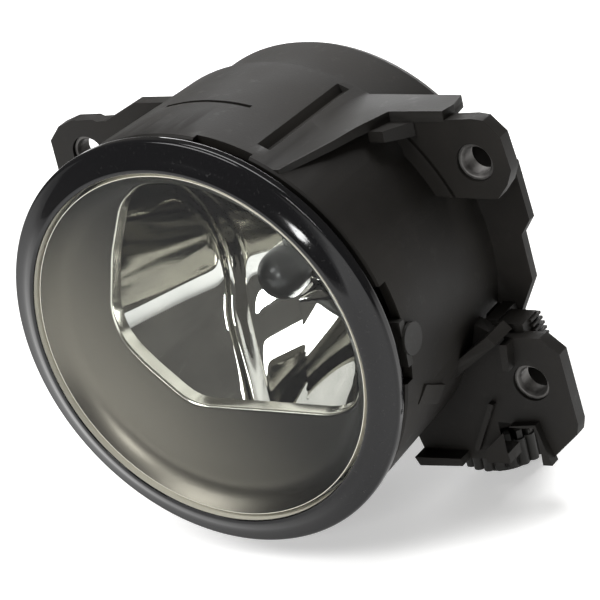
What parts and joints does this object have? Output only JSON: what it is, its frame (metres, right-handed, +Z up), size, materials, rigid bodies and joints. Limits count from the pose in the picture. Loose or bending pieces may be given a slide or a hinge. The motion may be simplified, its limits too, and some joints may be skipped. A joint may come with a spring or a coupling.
{
  "type": "fog light",
  "caption": "Round front fog light: glass-lensed lamp unit that tilts in a three-eared black plastic carrier, aimed by a toothed wheel and screw, with a twist-in bulb.",
  "frame": {"origin": "on the lamp axis, in the plane of the front rim's outer edge", "axes": "-Y is the direction of the light beam, +Z up, +X to the right for someone who faces the lens"},
  "size_m": [0.1278, 0.0895, 0.105],
  "materials": {
    "black_plastic": "fine moulded grain, matte",
    "casing_plastic": "smooth moulded, matte",
    "gloss_black": "gloss",
    "clear_glass": "polished",
    "seal_rubber": "matte",
    "mask_chrome": "satin metallised",
    "reflector_mirror": "vacuum metallised",
    "insert_steel": "dull zinc plated",
    "screw_steel": "zinc plated",
    "grey_nylon": "smooth",
    "wheel_nylon": "smooth",
    "white_nylon": "natural nylon",
    "membrane": "porous film",
    "holder_plastic": "glass filled, matte",
    "bulb_glass": "clear, black painted tip",
    "tungsten": "drawn wire",
    "silicone": "matte",
    "tinned_brass": "stamped"
  },
  "bodies": {
    "carrier": {"carrier_barrel": "black_plastic", "rear_housing": "black_plastic", "ear_inserts": "insert_steel", "pivot_clips": "grey_nylon", "wheel_retainer": "grey_nylon"},
    "wheel": {"adjuster_wheel": "wheel_nylon"},
    "screw": {"adjuster_screw": "screw_steel"},
    "lamp_unit": {"front_rim": "gloss_black", "lens": "clear_glass", "lens_seal": "seal_rubber", "reflector_mask": "mask_chrome", "reflector": "reflector_mirror", "reflector_screws": "screw_steel", "lamp_casing": "casing_plastic", "pivot_pins": "screw_steel", "stud_socket": "white_nylon", "vent_cap": "seal_rubber", "vent_membrane": "membrane"},
    "bulb": {"bulb_holder": "holder_plastic", "bulb_collar": "screw_steel", "bulb_glass": "bulb_glass", "glass_pinch": "bulb_glass", "filament": "tungsten", "filament_posts": "tungsten", "bulb_seal": "silicone", "connector_blades": "tinned_brass"}
  },
  "joints": [
    {"name": "wheel_turn", "type": "hinge", "parent": "carrier", "child": "wheel", "pos_m": [0.0385, 0.0515, -0.048], "axis": [0, 0, 1], "range_deg": [-402, 402]},
    {"name": "screw_lift", "type": "slide", "parent": "carrier", "child": "screw", "axis": [0, 0, 1], "range_m": [-0.0014, 0.0014]},
    {"name": "lamp_tilt", "type": "hinge", "parent": "carrier", "child": "lamp_unit", "pos_m": [0, 0.0095, 0], "axis": [1, 0, 0], "range_deg": [-1.9, 1.9]},
    {"name": "bulb_twist", "type": "hinge", "parent": "lamp_unit", "child": "bulb", "pos_m": [0, 0.064, 0], "axis": [0, 1, 0], "range_deg": [0, 40]}
  ],
  "couplings": [
    {"joint": "screw_lift", "follows": "lamp_tilt", "m_per_rad": 0.042},
    {"joint": "wheel_turn", "follows": "lamp_tilt", "ratio": -211.12}
  ]
}
